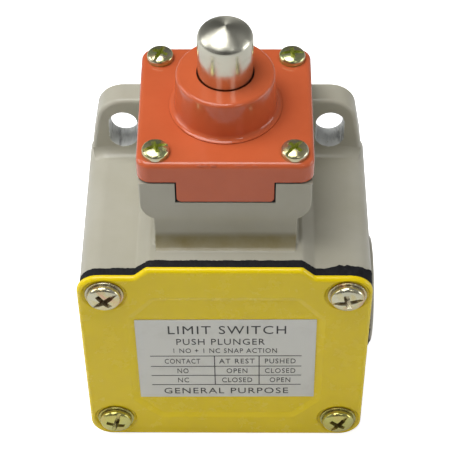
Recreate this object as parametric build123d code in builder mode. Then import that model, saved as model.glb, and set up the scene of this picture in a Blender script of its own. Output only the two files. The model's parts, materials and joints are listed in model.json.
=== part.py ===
from build123d import *
import math
import os

# Plunger limit switch with a die-cast housing, a square actuator head and a snap-over contact block.
#
# Frame: +Z up along the plunger, -Y out of the yellow front cover, +X to the right of the cover.
# The origin lies on the back mounting plane, midway between the two mounting slots.
# Lengths are in millimetres.

# ---------------------------------------------------------------- driving dimensions
BODY_WIDTH = 64.0
BODY_HEIGHT = 58.0  # underside to shoulder
BODY_CORNER = 4.8  # outer corner radius of the body, gasket and cover
HOUSING_DEPTH = 41.2
WALL = 3.5
SLOT_HEIGHT = 65.1  # slot centres above the underside
RIDGE_RISE = 2.7  # raised centre of the shoulder, under the neck
RIDGE_TOP_HALF = 16.7
GASKET_THICKNESS = 2.0
COVER_THICKNESS = 1.2
HEAD_WIDTH = 37.2
HEAD_DEPTH = 36.3
HEAD_CENTRE_Y = -18.2
NECK_RISE = 79.6  # neck top above the underside
SLOT_PITCH = 47.0
SLOT_WIDTH = 6.4
SLOT_LENGTH = 10.4
COVER_SCREW_PITCH_X = 53.0
COVER_SCREW_PITCH_Z = 46.4
COVER_SCREW_MIDDLE = 29.5  # middle of the screw pattern above the underside
HEAD_SCREW_PITCH = 28.9
PLUNGER_RADIUS = 5.85
BRIDGE_TRAVEL = 2.2
CONDUIT_RADIUS = 9.5  # thread core of the cable entry

# ---------------------------------------------------------------- levels that follow
BOTTOM = -SLOT_HEIGHT
SHOULDER = BOTTOM + BODY_HEIGHT
RIDGE = SHOULDER + RIDGE_RISE
NECK_TOP = BOTTOM + NECK_RISE
EAR_TOP = BOTTOM + 73.9
BODY_MIDDLE = BOTTOM + BODY_HEIGHT / 2
SCREW_MIDDLE = BOTTOM + COVER_SCREW_MIDDLE
HALF_WIDTH = BODY_WIDTH / 2
FRONT = -HOUSING_DEPTH  # y of the housing's open face
GASKET_FRONT = FRONT - GASKET_THICKNESS
COVER_FRONT = GASKET_FRONT - COVER_THICKNESS
HEAD_FRONT = HEAD_CENTRE_Y - HEAD_DEPTH / 2
FIT_GAP = 0.02  # play between pieces that sit in each other

# ---------------------------------------------------------------- head and plunger levels
NOTCH_FLOOR = BOTTOM + 73.8
NOTCH_HALF = 10.6
HEAD_GASKET_THICKNESS = 0.4
RIB_BOTTOM = NOTCH_FLOOR + HEAD_GASKET_THICKNESS
RIB_HALF = 10.25
FLANGE_BOTTOM = NECK_TOP + 0.5
FLANGE_TOP = FLANGE_BOTTOM + 5.1
COLLAR_TOP = FLANGE_TOP + 9.45
COLLAR_RADIUS = 10.4  # at the top
COLLAR_DRAFT = 0.6  # how much wider the collar is at its foot
HEAD_BORE = 8.5
HEAD_MOUTH = 6.12  # opening that the plunger leaves by
SEAL_TOP = COLLAR_TOP - 1.8
BUSH_TOP = SEAL_TOP - 3.2
BUSH_BOTTOM = RIB_BOTTOM + 3.6
PLUNGER_TOP = COLLAR_TOP + 12.75
DOME_RADIUS = 8.0
DOME_SHOULDER_RADIUS = 2.5  # rounding where the dome turns down into the shaft
PLUNGER_SHOULDER = PLUNGER_TOP - DOME_RADIUS + math.sqrt(DOME_RADIUS**2 - PLUNGER_RADIUS**2)
SNAP_RING_THICKNESS = 0.7
SPRING_CAP_THICKNESS = 0.8
SNAP_RING_TOP = BUSH_BOTTOM - FIT_GAP
PLUNGER_STEP = SNAP_RING_TOP - SNAP_RING_THICKNESS - FIT_GAP - 0.6
SPRING_CAP_BOTTOM = PLUNGER_STEP - SPRING_CAP_THICKNESS
SPRING_SEAT_LEVEL = BOTTOM + 61.2  # ledge in the neck
SPRING_SEAT_THICKNESS = 0.8
NECK_BORE = 9.2
LEDGE_BORE = 6.2

# ---------------------------------------------------------------- contact block levels
BLOCK_HALF_WIDTH = 19.5
BLOCK_BOTTOM = BOTTOM + 21.5
BLOCK_TOP = BOTTOM + 52.0
BLOCK_BACK = -9.0
BLOCK_FRONT = -26.0
STEM_TOP = BOTTOM + 54.2
STEM_Y = HEAD_CENTRE_Y
CHANNEL_HALF = 8.8
CHANNEL_FLOOR = BLOCK_BOTTOM + 2.0
CHANNEL_ROOF = BLOCK_TOP - 2.0
CHANNEL_BACK = BLOCK_BACK - 3.0
STRIP_THICKNESS = 1.0
CONTACT_X = 6.9
CONTACT_RADIUS = 1.3
FIXED_CONTACT_HEIGHT = 1.0
MOVING_CONTACT_HEIGHT = 0.8
BRIDGE_THICKNESS = 1.4
NC_STRIP = BOTTOM + 41.5  # underside of the normally closed strips
BRIDGE_TOP = NC_STRIP - FIXED_CONTACT_HEIGHT - MOVING_CONTACT_HEIGHT - FIT_GAP
BRIDGE_BOTTOM = BRIDGE_TOP - BRIDGE_THICKNESS
NO_STRIP = BRIDGE_BOTTOM - MOVING_CONTACT_HEIGHT - BRIDGE_TRAVEL - FIT_GAP - FIXED_CONTACT_HEIGHT
TERMINAL_X = 14.4
TERMINAL_PAD = 8.0
NC_TERMINAL = NC_STRIP + STRIP_THICKNESS / 2 + TERMINAL_PAD / 2
NO_TERMINAL = NO_STRIP - STRIP_THICKNESS / 2 - TERMINAL_PAD / 2
PAD_FRONT = BLOCK_FRONT + 2.2
BLOCK_SCREW_LEVEL = (NC_STRIP + NO_STRIP) / 2
TERMINALS = [(side * TERMINAL_X, level) for side in (-1, 1) for level in (NC_TERMINAL, NO_TERMINAL)]
BLOCK_SCREWS = [(side * TERMINAL_X, BLOCK_SCREW_LEVEL) for side in (-1, 1)]
EARTH_SCREW = (-14.0, BOTTOM + 12.0)
EARTH_PAD = -8.0  # y of the earth boss's face
CONDUIT_Y = -22.2
CONDUIT_Z = BOTTOM + 28.2

# ---------------------------------------------------------------- screw sizes
M3_RADIUS, M3_HEAD_RADIUS, M3_HEAD_HEIGHT = 1.5, 2.9, 2.0
M4_RADIUS, M4_HEAD_RADIUS, M4_HEAD_HEIGHT = 2.0, 3.7, 2.0
COVER_WASHER_RADIUS = 4.25
COVER_WASHER_THICKNESS = 0.5
DIMPLE_RADIUS = 4.7
DIMPLE_DEPTH = 0.35

# ---------------------------------------------------------------- contact block inner layout
PAD_BACK = PAD_FRONT + STRIP_THICKNESS
LOBE_INNER = TERMINAL_X - TERMINAL_PAD / 2
LOBE_OUTER = TERMINAL_X + TERMINAL_PAD / 2
LOBE_BACK = -12.5  # floor of the recess around the fixing screws
STRIP_INNER = 5.2
STRIP_DEPTH = 6.4
BLOCK_COVER_THICKNESS = 1.5
BLOCK_COVER_HALF = 9.6
BRIDGE_HALF = 8.4
BRIDGE_DEPTH = 3.6
STEM_RADIUS = 2.5
STEM_HALF_WIDTH = 4.2
STEM_HALF_DEPTH = 3.8
WINDOW_TOP = BRIDGE_TOP + 6.3
WINDOW_BOTTOM = BRIDGE_BOTTOM - 0.05
STEM_WEB = 2.6  # height of the stem's bars above and below the window
STEM_BOTTOM = WINDOW_BOTTOM - STEM_WEB
CLAMP_SIZE = 6.6
CLAMP_THICKNESS = 0.8
BLOCK_WASHER_THICKNESS = 0.5

os.makedirs("parts", exist_ok=True)


# ================================================================ shared shapes
def front_plane(y):
    """Sketch plane at depth y that faces the front, with its vertical axis along +Z."""
    return Plane.XZ.offset(-y)


def facing_front(x, y, z, turn=0):
    """Location for a fastener at (x, y, z) whose head points out of the front."""
    across = (math.cos(math.radians(turn)), 0, math.sin(math.radians(turn)))
    return Location(Plane(origin=(x, y, z), x_dir=across, z_dir=(0, -1, 0)))


def body_outline(y, growth=0.0):
    """Outline shared by the housing, the gasket and the cover, at depth y, grown outwards."""
    half, foot = HALF_WIDTH + growth, BOTTOM - growth
    shoulder, ridge = SHOULDER + growth, RIDGE + growth
    slope_start = RIDGE_TOP_HALF + 0.4 * growth
    slope_end = slope_start + RIDGE_RISE
    right = [(half, foot), (half, shoulder), (slope_end, shoulder), (slope_start, ridge)]
    with BuildSketch(front_plane(y)) as outline:
        with BuildLine():
            Polyline(*right, *[(-x, z) for x, z in reversed(right)], close=True)
        make_face()
        outer_corners = outline.vertices().filter_by(lambda corner: abs(corner.X) > half - 1)
        fillet(outer_corners, BODY_CORNER + growth)
        fillet(outline.vertices().filter_by(lambda corner: abs(corner.X) < slope_end + 1), 1.0)
    return outline.sketch


def room_outline(y, growth=0.0):
    """Opening of the housing at depth y, leaving corner bosses for the cover screws."""
    with BuildSketch(front_plane(y)) as outline:
        with Locations((0, BODY_MIDDLE)):
            width = BODY_WIDTH - 2 * WALL + 2 * growth
            RectangleRounded(width, BODY_HEIGHT - 2 * WALL + 2 * growth, 2)
        with Locations((0, SCREW_MIDDLE)):
            with GridLocations(COVER_SCREW_PITCH_X, COVER_SCREW_PITCH_Z, 2, 2):
                Circle(4.9 - growth, mode=Mode.SUBTRACT)
    return outline.sketch


def cross_recess(radius, depth, slot_length, slot_width):
    """Cutter for a combined cross and slot recess that reaches down from z = 0."""
    clearance = 0.3
    with BuildPart() as cutter:
        for turn in (0, 90):
            with BuildSketch(Plane.XY.offset(clearance)):
                Rectangle(2 * radius, 1.5 * slot_width, rotation=turn)
            with BuildSketch(Plane.XY.offset(-depth)):
                Rectangle(0.8 * radius, 0.7 * slot_width, rotation=turn)
            loft()
        with BuildSketch(Plane.XY.offset(clearance)):
            Rectangle(slot_length, slot_width)
        extrude(amount=-clearance - 0.42 * depth)
    return cutter.part


def pan_screw(head_radius, head_height, shank_radius, length):
    """Pan-head screw standing head up, with the underside of its head on z = 0."""
    recess = cross_recess(0.72 * head_radius, 0.85 * head_height, 1.9 * head_radius, 0.24 * head_radius)
    wall = 0.62 * head_height
    crown = head_height - wall
    crown_radius = (head_radius**2 + crown**2) / (2 * crown)
    half_drop = crown_radius - math.sqrt(crown_radius**2 - head_radius**2 / 4)
    with BuildPart() as screw:
        with BuildSketch(Plane.XZ):
            with BuildLine():
                side = Polyline((0, head_height), (0, 0), (head_radius, 0), (head_radius, wall))
                ThreePointArc(side @ 1, (head_radius / 2, head_height - half_drop), side @ 0)
            make_face()
        revolve(axis=Axis.Z)
        fillet(screw.edges().filter_by(lambda rim: abs(rim.center().Z - wall) < 0.01), 0.4 * head_height)
        fillet(screw.faces().sort_by(Axis.Z)[0].edges(), 0.12)
        with Locations((0, 0, head_height)):
            add(recess, mode=Mode.SUBTRACT)
        Cylinder(shank_radius, length, align=(Align.CENTER, Align.CENTER, Align.MAX))
        chamfer(screw.edges().sort_by(Axis.Z)[0], 0.25 * shank_radius)
    return screw.part


def ring(outer, inner, thickness):
    """Flat washer lying on z = 0."""
    with BuildPart() as washer:
        with BuildSketch():
            Circle(outer)
            Circle(inner, mode=Mode.SUBTRACT)
        extrude(amount=thickness)
    return washer.part


def coil_spring(coil_radius, wire_radius, bottom, top, turns):
    """Compression spring on the plunger's axis between two levels."""
    height = top - bottom - 2 * wire_radius
    with BuildPart() as spring:
        with BuildLine():
            start = (0, HEAD_CENTRE_Y, bottom + wire_radius)
            path = Helix(height / turns, height, coil_radius, center=start)
        with BuildSketch(Plane(origin=path @ 0, z_dir=path % 0)):
            Circle(wire_radius)
        sweep(is_frenet=True)
    return spring.part


# ================================================================ housing
NECK_LOWER_HALF = 15.4
NECK_EDGE = 0.5  # rounding of the neck's upright front edges
NECK_UPPER_HALF = 18.2
NECK_STEP = BOTTOM + 68.0  # where the wide top of the neck begins
NECK_STEP_RADIUS = 5.2
NECK_FLARE = 2.9  # hollow at the foot of the neck's front
EAR_THICKNESS = 5.5  # at the top
EAR_FOOT_THICKNESS = 5.9  # at the shoulder
EAR_SLOPE = (EAR_FOOT_THICKNESS - EAR_THICKNESS) / (EAR_TOP - SHOULDER)
EAR_FOOT_HOLLOW = 2.3  # hollow where the ears grow out of the shoulder
EAR_EDGE = 0.9  # rounding of the ears' front edges
ENTRY_BOSS_RADIUS = 12.9
ENTRY_BOSS_RISE = 2.0  # outside the right wall
ENTRY_BOSS_DEPTH = 6.6  # inside, from the wall's outer face
EAR_TOP_HALF = 28.4
EAR_CORNER = 6.2
COVER_SCREW_HOLE_DEPTH = 13.0
HEAD_SCREW_HOLE_DEPTH = 10.0

body_sketch = body_outline(0)
room_sketch = room_outline(FRONT)

with BuildSketch(Plane.XY.offset(SHOULDER)) as neck_foot_outline:
    with Locations((0, HEAD_FRONT / 2)):
        Rectangle(2 * NECK_LOWER_HALF, -HEAD_FRONT)
    fillet(neck_foot_outline.vertices().sort_by(Axis.Y)[0:2], NECK_EDGE)
neck_foot = neck_foot_outline.sketch

with BuildPart() as neck_block:
    with BuildSketch(front_plane(0)):
        with Locations((0, NECK_STEP)):
            Rectangle(2 * NECK_UPPER_HALF, NECK_TOP - NECK_STEP, align=(Align.CENTER, Align.MIN))
    extrude(amount=-HEAD_FRONT)
    lower_edges = neck_block.edges().filter_by(Axis.Y).sort_by(Axis.Z)[0:2]
    fillet(lower_edges, NECK_STEP_RADIUS)
    fillet(neck_block.edges().filter_by(Axis.Z).sort_by(Axis.Y)[0:2], NECK_EDGE)
neck_top = neck_block.part

with BuildSketch(front_plane(0)) as ear_outline:
    with BuildLine():
        ear_side = Line((HALF_WIDTH, SHOULDER - BODY_CORNER), (EAR_TOP_HALF, EAR_TOP))
        Polyline(
            ear_side @ 1,
            (-EAR_TOP_HALF, EAR_TOP),
            (-HALF_WIDTH, SHOULDER - BODY_CORNER),
            ear_side @ 0,
        )
    make_face()
    fillet(ear_outline.vertices().group_by(Axis.Z)[-1], EAR_CORNER)
ear_sketch = ear_outline.sketch

with BuildPart() as ears:
    with BuildSketch(Plane.YZ):
        with BuildLine():
            Polyline(
                (0, EAR_TOP),
                (-EAR_THICKNESS, EAR_TOP),
                (-EAR_FOOT_THICKNESS - EAR_SLOPE * BODY_CORNER, SHOULDER - BODY_CORNER),
                (0, SHOULDER - BODY_CORNER),
                close=True,
            )
        make_face()
    extrude(amount=HALF_WIDTH, both=True)
    extrude(ear_sketch, amount=EAR_FOOT_THICKNESS + 1, mode=Mode.INTERSECT)
    ear_rim = ears.faces().sort_by(Axis.Y)[0].edges().filter_by(lambda rim: rim.center().Z > SHOULDER - 1)
    fillet(ear_rim, EAR_EDGE)
ear_plate = ears.part

with BuildSketch(Plane.YZ.offset(HALF_WIDTH - BODY_CORNER)) as ear_foot_profile:
    with BuildLine():
        foot_hollow = ThreePointArc(
            (-EAR_FOOT_THICKNESS - EAR_FOOT_HOLLOW, SHOULDER - 0.05),
            (-EAR_FOOT_THICKNESS - 0.27 * EAR_FOOT_HOLLOW, SHOULDER + 0.31 * EAR_FOOT_HOLLOW),
            (-EAR_FOOT_THICKNESS + 0.1, SHOULDER + EAR_FOOT_HOLLOW),
        )
        Polyline(
            foot_hollow @ 1,
            (1.5 - EAR_FOOT_THICKNESS, SHOULDER + EAR_FOOT_HOLLOW),
            (1.5 - EAR_FOOT_THICKNESS, SHOULDER - 0.05),
            foot_hollow @ 0,
        )
    make_face()
ear_foot_sketch = ear_foot_profile.sketch

with BuildPart() as ear_foot:
    extrude(ear_foot_sketch, amount=RIDGE_TOP_HALF + 2 + BODY_CORNER - HALF_WIDTH)
    corner_axis = Axis((HALF_WIDTH - BODY_CORNER, 0, SHOULDER - BODY_CORNER), (0, 1, 0))
    revolve(ear_foot_sketch, axis=corner_axis, revolution_arc=60)
    extrude(ear_sketch, amount=EAR_FOOT_THICKNESS + EAR_FOOT_HOLLOW + 1, mode=Mode.INTERSECT)
right_ear_foot = ear_foot.part
left_ear_foot = right_ear_foot.mirror(Plane.YZ)

with BuildPart() as housing:
    # Body block, with the raised ridge along its top.
    extrude(body_sketch, amount=HOUSING_DEPTH)

    # Neck, with hollows where it grows out of the ridge.
    extrude(neck_foot, amount=NECK_STEP + 5 - SHOULDER)
    ridge_edges = housing.edges().filter_by(lambda edge: abs(edge.center().Z - RIDGE) < 0.01)
    foot_edges = ridge_edges.filter_by(lambda edge: abs(edge.center().X) < NECK_LOWER_HALF + 0.1)
    fillet(foot_edges.filter_by(lambda edge: -1 > edge.center().Y > HEAD_FRONT - 0.1), 0.8)
    with BuildSketch(Plane.YZ):
        with BuildLine():
            hollow = ThreePointArc(
                (HEAD_FRONT - NECK_FLARE, RIDGE - 0.05),
                (HEAD_FRONT - 0.29 * NECK_FLARE, RIDGE + 0.31 * NECK_FLARE),
                (HEAD_FRONT, RIDGE + NECK_FLARE),
            )
            Polyline(
                hollow @ 1,
                (HEAD_FRONT + 2, RIDGE + NECK_FLARE),
                (HEAD_FRONT + 2, RIDGE - 0.05),
                hollow @ 0,
            )
        make_face()
    extrude(amount=NECK_LOWER_HALF - NECK_EDGE / 2, both=True)
    add(neck_top)

    # Mounting ears on both sides of the neck, with hollows along the shoulder.
    add(ear_plate)
    add([right_ear_foot, left_ear_foot])

    # Room for the contact block, boss for the cable entry, pedestals and earth boss.
    extrude(room_sketch, amount=WALL - HOUSING_DEPTH, mode=Mode.SUBTRACT)
    with BuildSketch(Plane.YZ.offset(HALF_WIDTH - ENTRY_BOSS_DEPTH)):
        with Locations((CONDUIT_Y, CONDUIT_Z)):
            Circle(ENTRY_BOSS_RADIUS)
    extrude(amount=ENTRY_BOSS_DEPTH + ENTRY_BOSS_RISE)
    fillet(housing.faces().sort_by(Axis.X)[-1].edges(), 0.7)
    with BuildSketch(front_plane(-WALL + 1)):
        with Locations(*BLOCK_SCREWS):
            Circle(4.0)
    extrude(amount=-BLOCK_BACK - WALL + 1)
    with BuildSketch(front_plane(-WALL + 1)):
        with Locations(EARTH_SCREW):
            Circle(4.6)
    extrude(amount=-EARTH_PAD - WALL + 1)

    # Cable entry through the right side.
    with BuildSketch(Plane.YZ.offset(HALF_WIDTH - ENTRY_BOSS_DEPTH - 1)):
        with Locations((CONDUIT_Y, CONDUIT_Z)):
            Circle(CONDUIT_RADIUS)
    extrude(amount=ENTRY_BOSS_DEPTH + ENTRY_BOSS_RISE + 2, mode=Mode.SUBTRACT)
    entry_mouth = housing.faces().sort_by(Axis.X)[-1].edges().sort_by(SortBy.LENGTH)[0]
    chamfer(entry_mouth, 0.5)

    # Notch and stepped bore of the neck.
    with BuildSketch(front_plane(0)):
        with Locations((0, NOTCH_FLOOR)):
            Rectangle(2 * NOTCH_HALF, 10, align=(Align.CENTER, Align.MIN))
    extrude(amount=-HEAD_FRONT + 1, mode=Mode.SUBTRACT)
    with BuildSketch(Plane.XY.offset(NOTCH_FLOOR)):
        with Locations((0, HEAD_CENTRE_Y)):
            Circle(NECK_BORE)
    extrude(amount=SPRING_SEAT_LEVEL - NOTCH_FLOOR, mode=Mode.SUBTRACT)
    with BuildSketch(Plane.XY.offset(NOTCH_FLOOR)):
        with Locations((0, HEAD_CENTRE_Y)):
            Circle(LEDGE_BORE)
    extrude(amount=SHOULDER - WALL - 1 - NOTCH_FLOOR, mode=Mode.SUBTRACT)

    # Threaded holes for the head, cover, block and earth screws, and the two mounting slots.
    with BuildSketch(Plane.XY.offset(NECK_TOP)):
        with Locations((0, HEAD_CENTRE_Y)):
            with GridLocations(HEAD_SCREW_PITCH, HEAD_SCREW_PITCH, 2, 2):
                Circle(M3_RADIUS + FIT_GAP)
    extrude(amount=-HEAD_SCREW_HOLE_DEPTH, mode=Mode.SUBTRACT)
    with BuildSketch(front_plane(FRONT)):
        with Locations((0, SCREW_MIDDLE)):
            with GridLocations(COVER_SCREW_PITCH_X, COVER_SCREW_PITCH_Z, 2, 2):
                Circle(M4_RADIUS + FIT_GAP)
    extrude(amount=-COVER_SCREW_HOLE_DEPTH, mode=Mode.SUBTRACT)
    with BuildSketch(front_plane(BLOCK_BACK)):
        with Locations(*BLOCK_SCREWS):
            Circle(M3_RADIUS + FIT_GAP)
    extrude(amount=-6.5, mode=Mode.SUBTRACT)
    with BuildSketch(front_plane(EARTH_PAD)):
        with Locations(EARTH_SCREW):
            Circle(M4_RADIUS + FIT_GAP)
    extrude(amount=-6.0, mode=Mode.SUBTRACT)
    with BuildSketch(front_plane(0)):
        with GridLocations(SLOT_PITCH, 0, 2, 1):
            SlotOverall(SLOT_LENGTH, SLOT_WIDTH, rotation=90)
    extrude(amount=EAR_FOOT_THICKNESS + 0.5, mode=Mode.SUBTRACT)

housing.part.label = "housing"
export_step(housing.part, "parts/housing.step")

# ================================================================ front cover and its seal
COVER_OVERHANG = 0.3  # past the gasket, all round
COVER_SHIFT_X, COVER_SHIFT_Z = -0.25, -0.15  # how the cover sits on its screws' play
PANEL_DEPTH = 0.5
PANEL_SLOPE = 1.5
PANEL_OUTLINE = [(15.2, 8.2), (20.6, 14.4), (20.6, 44.2), (15.6, 50.4)]
COVER_SCREW_LENGTH = 14.0
LABEL_WIDTH, LABEL_HEIGHT, LABEL_BOTTOM = 40.6, 29.0, 14.7
LABEL_THICKNESS = 0.15
LABEL_TURN = 0.5  # degrees that the label was stuck on out of true


def panel_outline(y, growth):
    """Eight-sided outline of the sunken panel at depth y, grown outwards."""
    right = [(x + growth, BOTTOM + z + growth * (1 if z > 40 else -1)) for x, z in PANEL_OUTLINE]
    right[1] = (right[1][0], right[1][1] + 0.6 * growth)
    right[2] = (right[2][0], right[2][1] - 0.6 * growth)
    right[0] = (right[0][0] - 0.6 * growth, right[0][1])
    right[3] = (right[3][0] - 0.6 * growth, right[3][1])
    with BuildSketch(front_plane(y)) as outline:
        with BuildLine():
            Polyline(*right, *[(-x, z) for x, z in reversed(right)], close=True)
        make_face()
        fillet(outline.vertices(), 1.2 + growth)
    return outline.sketch


gasket_sketch = body_outline(FRONT)
gasket_room = room_outline(FRONT, -0.6)
with BuildPart() as cover_gasket:
    extrude(gasket_sketch, amount=GASKET_THICKNESS)
    extrude(gasket_room, amount=GASKET_THICKNESS, mode=Mode.SUBTRACT)
    with BuildSketch(front_plane(FRONT)):
        with Locations((0, SCREW_MIDDLE)):
            with GridLocations(COVER_SCREW_PITCH_X, COVER_SCREW_PITCH_Z, 2, 2):
                Circle(M4_RADIUS + 0.3)
    extrude(amount=GASKET_THICKNESS, mode=Mode.SUBTRACT)
cover_gasket.part.label = "cover_gasket"
export_step(cover_gasket.part, "parts/cover_gasket.step")

panel_front_edge = panel_outline(COVER_FRONT, PANEL_SLOPE)
panel_front_floor = panel_outline(COVER_FRONT + PANEL_DEPTH, 0)
panel_back_edge = panel_outline(GASKET_FRONT, PANEL_SLOPE)
panel_back_floor = panel_outline(GASKET_FRONT + PANEL_DEPTH, 0)
cover_sketch = body_outline(GASKET_FRONT, COVER_OVERHANG).moved(Location((COVER_SHIFT_X, 0, COVER_SHIFT_Z)))

with BuildPart() as front_cover:
    extrude(cover_sketch, amount=COVER_THICKNESS)
    fillet(front_cover.faces().sort_by(Axis.Y)[0].edges(), 0.95)
    loft([panel_back_edge.face(), panel_back_floor.face()])
    loft([panel_front_edge.face(), panel_front_floor.face()], mode=Mode.SUBTRACT)
    with BuildSketch(front_plane(COVER_FRONT + DIMPLE_DEPTH)):
        with Locations((0, SCREW_MIDDLE)):
            with GridLocations(COVER_SCREW_PITCH_X, COVER_SCREW_PITCH_Z, 2, 2):
                Circle(DIMPLE_RADIUS)
    extrude(amount=COVER_THICKNESS, taper=-50, mode=Mode.SUBTRACT)
    with BuildSketch(front_plane(GASKET_FRONT + 1)):
        with Locations((0, SCREW_MIDDLE)):
            with GridLocations(COVER_SCREW_PITCH_X, COVER_SCREW_PITCH_Z, 2, 2):
                Circle(M4_RADIUS + 0.25)
    extrude(amount=COVER_THICKNESS + 2, mode=Mode.SUBTRACT)
front_cover.part.label = "front_cover"
export_step(front_cover.part, "parts/front_cover.step")

with BuildPart() as rating_label:
    with BuildSketch(front_plane(COVER_FRONT + PANEL_DEPTH)):
        with Locations((0, BOTTOM + LABEL_BOTTOM + LABEL_HEIGHT / 2)):
            Rectangle(LABEL_WIDTH, LABEL_HEIGHT, rotation=LABEL_TURN)
    extrude(amount=LABEL_THICKNESS)
    fillet(rating_label.edges().filter_by(Axis.Y), 0.2)
rating_label.part.label = "rating_label"
export_step(rating_label.part, "parts/rating_label.step")

COVER_SCREW_SPOTS = [
    (side * COVER_SCREW_PITCH_X / 2, SCREW_MIDDLE + level * COVER_SCREW_PITCH_Z / 2, turn)
    for side, level, turn in ((-1, 1, 38), (1, 1, 12), (-1, -1, 75), (1, -1, 55))
]
WASHER_SEAT = COVER_FRONT + DIMPLE_DEPTH
COVER_SCREW_SEAT = WASHER_SEAT - COVER_WASHER_THICKNESS
cover_screw = pan_screw(M4_HEAD_RADIUS, M4_HEAD_HEIGHT, M4_RADIUS, COVER_SCREW_LENGTH)
cover_washer = ring(COVER_WASHER_RADIUS, M4_RADIUS + 0.15, COVER_WASHER_THICKNESS)

with BuildPart() as cover_screws:
    for x, z, turn in COVER_SCREW_SPOTS:
        with Locations(facing_front(x, COVER_SCREW_SEAT, z, turn)):
            add(cover_screw)
cover_screws.part.label = "cover_screws"
export_step(cover_screws.part, "parts/cover_screws.step")

with BuildPart() as cover_screw_washers:
    for x, z, turn in COVER_SCREW_SPOTS:
        with Locations(facing_front(x, WASHER_SEAT, z)):
            add(cover_washer)
    fillet(cover_screw_washers.edges().filter_by(GeomType.CIRCLE).group_by(Axis.Y)[0], 0.15)
cover_screw_washers.part.label = "cover_screw_washers"
export_step(cover_screw_washers.part, "parts/cover_screw_washers.step")

# ================================================================ actuator head
HEAD_CORNER = 3.0
HEAD_RIM = 1.2
HEAD_BACK = HEAD_CENTRE_Y + HEAD_DEPTH / 2
COLLAR_FOOT = 1.1  # hollow around the collar's foot
FOOT_STEP = 0.25  # height of the ring that the hollow ends on
HEAD_SCREW_LENGTH = 12.0

with BuildPart() as actuator_head:
    # Square flange with a rounded rim.
    with BuildSketch(Plane.XY.offset(FLANGE_BOTTOM)):
        with Locations((0, HEAD_CENTRE_Y)):
            RectangleRounded(HEAD_WIDTH, HEAD_DEPTH, HEAD_CORNER)
    extrude(amount=FLANGE_TOP - FLANGE_BOTTOM)
    fillet(actuator_head.faces().sort_by(Axis.Z)[-1].edges(), HEAD_RIM)

    # Rib that locates in the neck's notch.
    with BuildSketch(front_plane(HEAD_BACK)):
        with Locations((0, RIB_BOTTOM)):
            Rectangle(2 * RIB_HALF, FLANGE_BOTTOM + 1 - RIB_BOTTOM, align=(Align.CENTER, Align.MIN))
    extrude(amount=HEAD_DEPTH)
    fillet(actuator_head.edges().filter_by(Axis.Y).sort_by(Axis.Z)[0:2], 1.0)

    # Collar around the plunger.
    with BuildSketch(Plane.XZ.offset(-HEAD_CENTRE_Y)):
        with BuildLine():
            foot_radius = COLLAR_RADIUS + COLLAR_DRAFT
            foot_level = FLANGE_TOP + FOOT_STEP
            foot = ThreePointArc(
                (foot_radius + COLLAR_FOOT, foot_level),
                (foot_radius + 0.32 * COLLAR_FOOT, foot_level + 0.32 * COLLAR_FOOT),
                (foot_radius, foot_level + COLLAR_FOOT),
            )
            Polyline(foot @ 1, (COLLAR_RADIUS, COLLAR_TOP), (0, COLLAR_TOP), (0, FLANGE_BOTTOM + 1))
            Polyline((0, FLANGE_BOTTOM + 1), (foot_radius + COLLAR_FOOT, FLANGE_BOTTOM + 1), foot @ 0)
        make_face()
    revolve(axis=Axis((0, HEAD_CENTRE_Y, 0), (0, 0, 1)))
    fillet(actuator_head.faces().sort_by(Axis.Z)[-1].edges(), 0.8)

    # Stepped bore and the four screw holes.
    with BuildSketch(Plane.XY.offset(RIB_BOTTOM - 1)):
        with Locations((0, HEAD_CENTRE_Y)):
            Circle(HEAD_BORE)
    extrude(amount=SEAL_TOP - RIB_BOTTOM + 1, mode=Mode.SUBTRACT)
    with BuildSketch(Plane.XY.offset(SEAL_TOP - 1)):
        with Locations((0, HEAD_CENTRE_Y)):
            Circle(HEAD_MOUTH)
    extrude(amount=COLLAR_TOP - SEAL_TOP + 2, mode=Mode.SUBTRACT)
    with BuildSketch(Plane.XY.offset(FLANGE_BOTTOM - 1)):
        with Locations((0, HEAD_CENTRE_Y)):
            with GridLocations(HEAD_SCREW_PITCH, HEAD_SCREW_PITCH, 2, 2):
                Circle(M3_RADIUS + 0.15)
    extrude(amount=FLANGE_TOP - FLANGE_BOTTOM + 2, mode=Mode.SUBTRACT)
actuator_head.part.label = "actuator_head"
export_step(actuator_head.part, "parts/actuator_head.step")

with BuildPart() as head_gasket:
    with BuildSketch(front_plane(HEAD_BACK - 0.3)):
        with BuildLine():
            edge = HEAD_WIDTH / 2 - 0.3
            Polyline(
                (-edge, NECK_TOP),
                (-NOTCH_HALF, NECK_TOP),
                (-NOTCH_HALF, NOTCH_FLOOR),
                (NOTCH_HALF, NOTCH_FLOOR),
                (NOTCH_HALF, NECK_TOP),
                (edge, NECK_TOP),
                (edge, FLANGE_BOTTOM),
                (RIB_HALF, FLANGE_BOTTOM),
                (RIB_HALF, RIB_BOTTOM),
                (-RIB_HALF, RIB_BOTTOM),
                (-RIB_HALF, FLANGE_BOTTOM),
                (-edge, FLANGE_BOTTOM),
                close=True,
            )
        make_face()
    extrude(amount=HEAD_DEPTH - 0.6)
    upright_edges = head_gasket.edges().filter_by(Axis.Z)
    fillet(upright_edges.filter_by(lambda rim: abs(rim.center().X) > edge - 0.1), HEAD_CORNER)
    with BuildSketch(Plane.XY.offset(NOTCH_FLOOR - 1)):
        with Locations((0, HEAD_CENTRE_Y)):
            Circle(NECK_BORE)
            with GridLocations(HEAD_SCREW_PITCH, HEAD_SCREW_PITCH, 2, 2):
                Circle(M3_RADIUS + 0.15)
    extrude(amount=FLANGE_BOTTOM - NOTCH_FLOOR + 2, mode=Mode.SUBTRACT)
head_gasket.part.label = "head_gasket"
export_step(head_gasket.part, "parts/head_gasket.step")

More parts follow.
